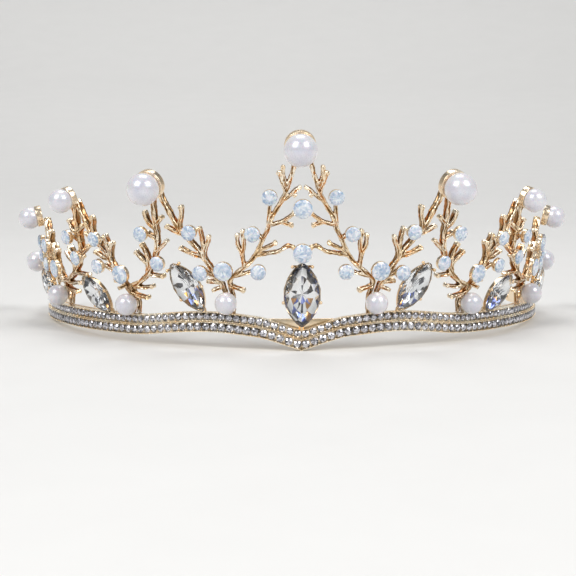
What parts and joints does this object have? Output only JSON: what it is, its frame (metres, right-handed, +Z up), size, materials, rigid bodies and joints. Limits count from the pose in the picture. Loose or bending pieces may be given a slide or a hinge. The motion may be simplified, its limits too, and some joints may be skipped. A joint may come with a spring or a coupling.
{
  "type": "crown",
  "caption": "Open-backed bridal crown: gold twig arches with pearls, opals and marquise crystals on a two-row stone band that dips to a point at the front.",
  "frame": {"origin": "centre of the base ring, level with the lower edge of the band where it runs level; the point at the front hangs below it", "axes": "+Z up, -Y towards the front of the crown, +X towards its own left side as worn, to the right as seen from the front"},
  "size_m": [0.163, 0.1088, 0.0585],
  "materials": {
    "gold_strip": "polished pale gold plate",
    "gold_cast": "cast, tumbled and plated pale gold",
    "pearl": "white pearl lustre with a faint pink tint",
    "opal": "milky pale blue glass, cut",
    "crystal": "clear cut glass",
    "band_stone": "clear small brilliant-cut glass"
  },
  "bodies": {
    "root": {"inner_strip": "gold_strip", "lower_channel_left": "gold_strip", "lower_channel_right": "gold_strip", "upper_channel_left": "gold_strip", "upper_channel_right": "gold_strip", "lower_row_stones_left": "band_stone", "lower_row_stones_right": "band_stone", "upper_row_stones_left": "band_stone", "upper_row_stones_right": "band_stone", "front_branch_left": "gold_cast", "front_branch_right": "gold_cast", "arch1_near_branch_left": "gold_cast", "arch1_near_branch_right": "gold_cast", "arch1_far_branch_left": "gold_cast", "arch1_far_branch_right": "gold_cast", "arch2_near_branch_left": "gold_cast", "arch2_near_branch_right": "gold_cast", "arch2_far_branch_left": "gold_cast", "arch2_far_branch_right": "gold_cast", "arch3_near_branch_left": "gold_cast", "arch3_near_branch_right": "gold_cast", "arch3_far_branch_left": "gold_cast", "arch3_far_branch_right": "gold_cast", "large_pearl_seats": "gold_strip", "medium_pearl_seats": "gold_strip", "small_pearl_seats": "gold_strip", "front_pearl": "pearl", "arch1_pearl_left": "pearl", "arch1_pearl_right": "pearl", "arch2_pearl_left": "pearl", "arch2_pearl_right": "pearl", "arch3_pearl_left": "pearl", "arch3_pearl_right": "pearl", "end_pearl_left": "pearl", "end_pearl_right": "pearl", "lower_pearl_posts": "gold_strip", "lower_pearls": "pearl", "large_opal_cups": "gold_strip", "small_opal_cups": "gold_strip", "large_opals": "opal", "small_opals": "opal", "front_crystal_setting": "gold_strip", "arch1_crystal_settings": "gold_strip", "arch2_crystal_settings": "gold_strip", "arch3_crystal_settings": "gold_strip", "front_crystal": "crystal", "arch1_crystal_left": "crystal", "arch1_crystal_right": "crystal", "arch2_crystal_left": "crystal", "arch2_crystal_right": "crystal", "arch3_crystal_left": "crystal", "arch3_crystal_right": "crystal", "end_loop_left": "gold_strip", "end_loop_right": "gold_strip"}
  },
  "joints": []
}
